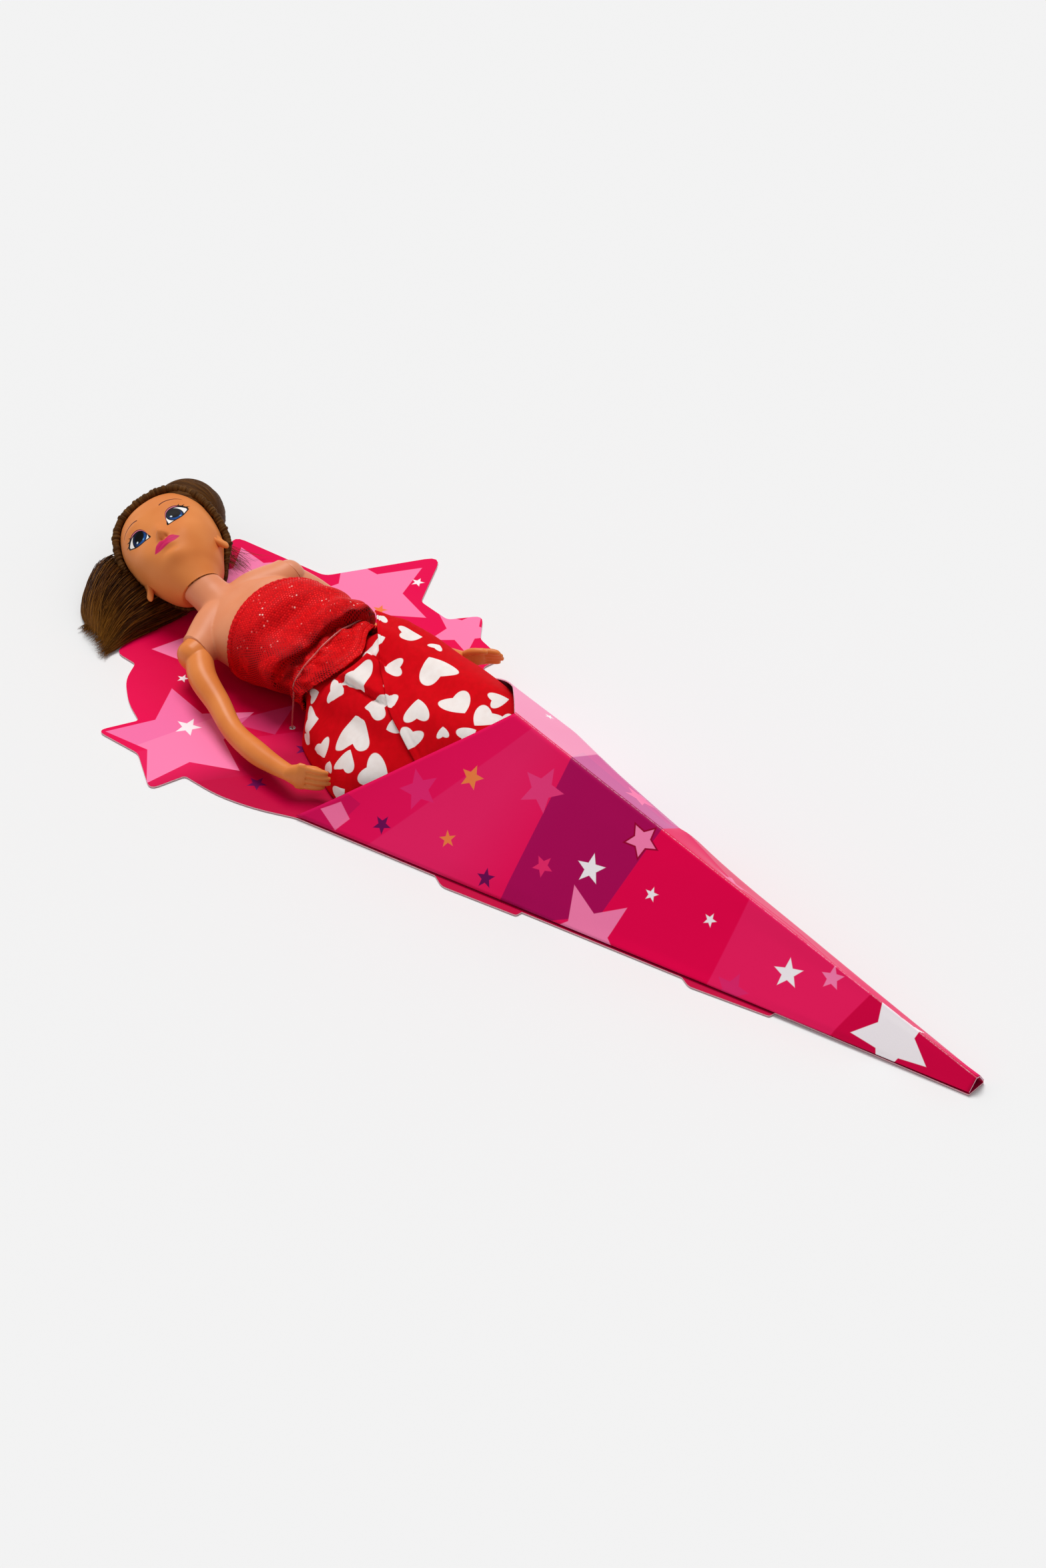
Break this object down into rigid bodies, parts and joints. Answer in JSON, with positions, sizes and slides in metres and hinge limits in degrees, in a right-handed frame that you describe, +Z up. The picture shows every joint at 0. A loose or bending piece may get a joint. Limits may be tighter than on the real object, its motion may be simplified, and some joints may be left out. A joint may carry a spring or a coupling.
{
  "type": "fashion doll",
  "caption": "Fashion doll in strapless top and heart-print skirt, tied into a die-cut star card with a folded cone sleeve.",
  "frame": {"origin": "on the back of the carton's card, level with the middle of the doll's body, where the card lies on the floor", "axes": "+X to the doll's left, +Y from the feet to the head along the carton, +Z up out of the card towards the doll's front"},
  "size_m": [0.1746, 0.4372, 0.049],
  "materials": {
    "printed_card": "glossy printed board in pinks and magenta",
    "bare_card": "unprinted grey-brown board",
    "elastic": "clear pinkish elastic thread",
    "torso_vinyl": "hard matt skin-tone plastic",
    "limb_vinyl": "soft satin tan plastic",
    "head_vinyl": "soft satin tan plastic with painted face",
    "hair": "brown rooted nylon hair",
    "sequin_knit": "red knit with glittering dots",
    "heart_cotton": "red woven cloth with pale hearts"
  },
  "bodies": {
    "carton": {"back_card": "printed_card", "cone_front": "printed_card", "glue_flap": "bare_card", "waist_tie": "elastic"},
    "torso": {"torso": "torso_vinyl", "top": "sequin_knit", "skirt": "heart_cotton"},
    "head": {"head": "head_vinyl", "hair_roll": "hair", "hair_cap": "hair", "hair_knot": "hair", "ponytail": "hair"},
    "left_arm": {"left_arm": "limb_vinyl"},
    "right_arm": {"right_arm": "limb_vinyl"},
    "left_leg": {"left_leg": "limb_vinyl"},
    "right_leg": {"right_leg": "limb_vinyl"}
  },
  "joints": [
    {"name": "doll_slide", "type": "slide", "parent": "carton", "child": "torso", "axis": [0, 1, 0], "range_m": [0, 0.2], "deforming": ["waist_tie"]},
    {"name": "head_turn", "type": "hinge", "parent": "torso", "child": "head", "pos_m": [0.0011, 0.0807, 0.0198], "axis": [0.2462, 0.9186, 0.309], "range_deg": [-60, 20], "deforming": ["hair_knot", "ponytail"]},
    {"name": "left_shoulder", "type": "hinge", "parent": "torso", "child": "left_arm", "pos_m": [0.02549, 0.062, 0.02142], "axis": [-0.9877, 0, -0.1564], "range_deg": [0, 120]},
    {"name": "right_shoulder", "type": "hinge", "parent": "torso", "child": "right_arm", "pos_m": [-0.01796, 0.062, 0.01454], "axis": [-0.9877, 0, -0.1564], "range_deg": [0, 120]},
    {"name": "left_hip", "type": "hinge", "parent": "torso", "child": "left_leg", "pos_m": [0.01485, -0.025, 0.0167], "axis": [-0.9877, 0, -0.1564], "range_deg": [0, 6]},
    {"name": "right_hip", "type": "hinge", "parent": "torso", "child": "right_leg", "pos_m": [-0.00638, -0.025, 0.01334], "axis": [-0.9877, 0, -0.1564], "range_deg": [0, 6]}
  ]
}
